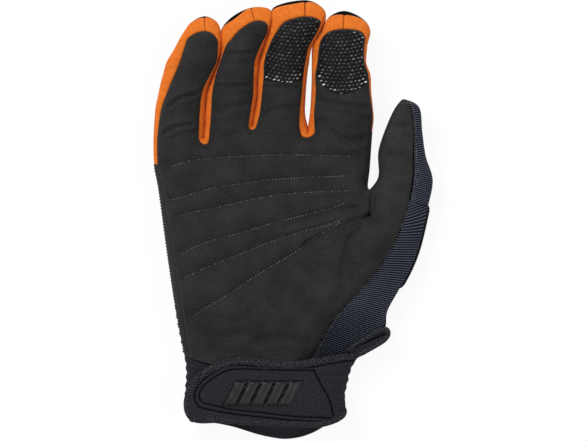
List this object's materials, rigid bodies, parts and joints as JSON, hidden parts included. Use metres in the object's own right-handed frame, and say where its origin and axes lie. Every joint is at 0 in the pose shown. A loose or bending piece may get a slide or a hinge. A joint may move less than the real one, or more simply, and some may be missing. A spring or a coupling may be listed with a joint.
{
  "type": "motocross glove",
  "caption": "Right-hand motocross glove lying palm up: leather palm, fabric finger walls, mesh thumb side, jointed fingers and thumb, and a wrist strap that opens.",
  "frame": {"origin": "on the flat of the back of the hand, where the glove rests, under the middle of the palm", "axes": "+X to the thumb side, +Y to the fingertips, +Z out of the palm"},
  "size_m": [0.1509, 0.2371, 0.0315],
  "materials": {
    "palm_leather": "matte synthetic suede leather, near black",
    "orange_fabric": "matte stretch fabric, orange",
    "navy_mesh": "open knit mesh, dark blue grey",
    "back_fabric": "matte stretch fabric, black",
    "rib_fabric": "ribbed binding tape, black",
    "cuff_fabric": "thin foam-backed knit, black",
    "strap_fabric": "smooth foam-backed fabric, black",
    "fastener_fabric": "hook and loop tape, black",
    "rubber": "satin moulded rubber, black",
    "silicone": "glossy silicone print, black"
  },
  "bodies": {
    "hand": {"palm_panel": "palm_leather", "hand_back": "back_fabric", "little_side_strip": "orange_fabric", "side_panel": "rib_fabric", "little_ring_gusset": "orange_fabric", "ring_middle_gusset": "orange_fabric", "middle_index_gusset": "orange_fabric", "index_side_panel": "palm_leather", "heel_mesh": "navy_mesh", "thumb_base_guard": "rubber", "cuff_back": "cuff_fabric", "cuff_palm": "cuff_fabric", "loop_patch": "fastener_fabric", "strap_anchor": "strap_fabric", "wrist_tab": "rib_fabric"},
    "little_finger": {"little_front": "palm_leather", "little_outer_wall": "orange_fabric", "little_inner_wall": "orange_fabric", "little_back": "back_fabric"},
    "ring_finger": {"ring_front": "palm_leather", "ring_outer_wall": "orange_fabric", "ring_inner_wall": "orange_fabric", "ring_back": "back_fabric"},
    "middle_finger": {"middle_front": "palm_leather", "middle_outer_wall": "orange_fabric", "middle_inner_wall": "orange_fabric", "middle_back": "back_fabric", "middle_grip": "silicone"},
    "index_finger": {"index_front": "palm_leather", "index_outer_wall": "orange_fabric", "index_inner_wall": "orange_fabric", "index_back": "back_fabric", "index_grip": "silicone"},
    "thumb": {"thumb_front": "palm_leather", "thumb_inner_wall": "palm_leather", "thumb_mesh_side": "navy_mesh", "thumb_back": "back_fabric"},
    "strap": {"strap_panel": "strap_fabric", "strap_binding": "rib_fabric", "strap_hook_patch": "fastener_fabric", "strap_grip": "rubber"}
  },
  "joints": [
    {"name": "little_flex", "type": "hinge", "parent": "hand", "child": "little_finger", "pos_m": [-0.0607, 0.0446, 0.0262], "axis": [1, 0, 0], "range_deg": [0, 70]},
    {"name": "ring_flex", "type": "hinge", "parent": "hand", "child": "ring_finger", "pos_m": [-0.0334, 0.051, 0.0262], "axis": [1, 0, 0], "range_deg": [0, 70]},
    {"name": "middle_flex", "type": "hinge", "parent": "hand", "child": "middle_finger", "pos_m": [-0.0059, 0.051, 0.0262], "axis": [1, 0, 0], "range_deg": [0, 70]},
    {"name": "index_flex", "type": "hinge", "parent": "hand", "child": "index_finger", "pos_m": [0.0265, 0.0478, 0.0262], "axis": [1, 0, 0], "range_deg": [0, 70]},
    {"name": "thumb_flex", "type": "hinge", "parent": "hand", "child": "thumb", "pos_m": [0.05805, 0.01225, 0.0282], "axis": [0.9663, -0.2575, 0], "range_deg": [0, 45]},
    {"name": "strap_open", "type": "hinge", "parent": "hand", "child": "strap", "pos_m": [0.0266, -0.0922, 0.0194], "axis": [0, 1, 0], "range_deg": [0, 100]}
  ]
}
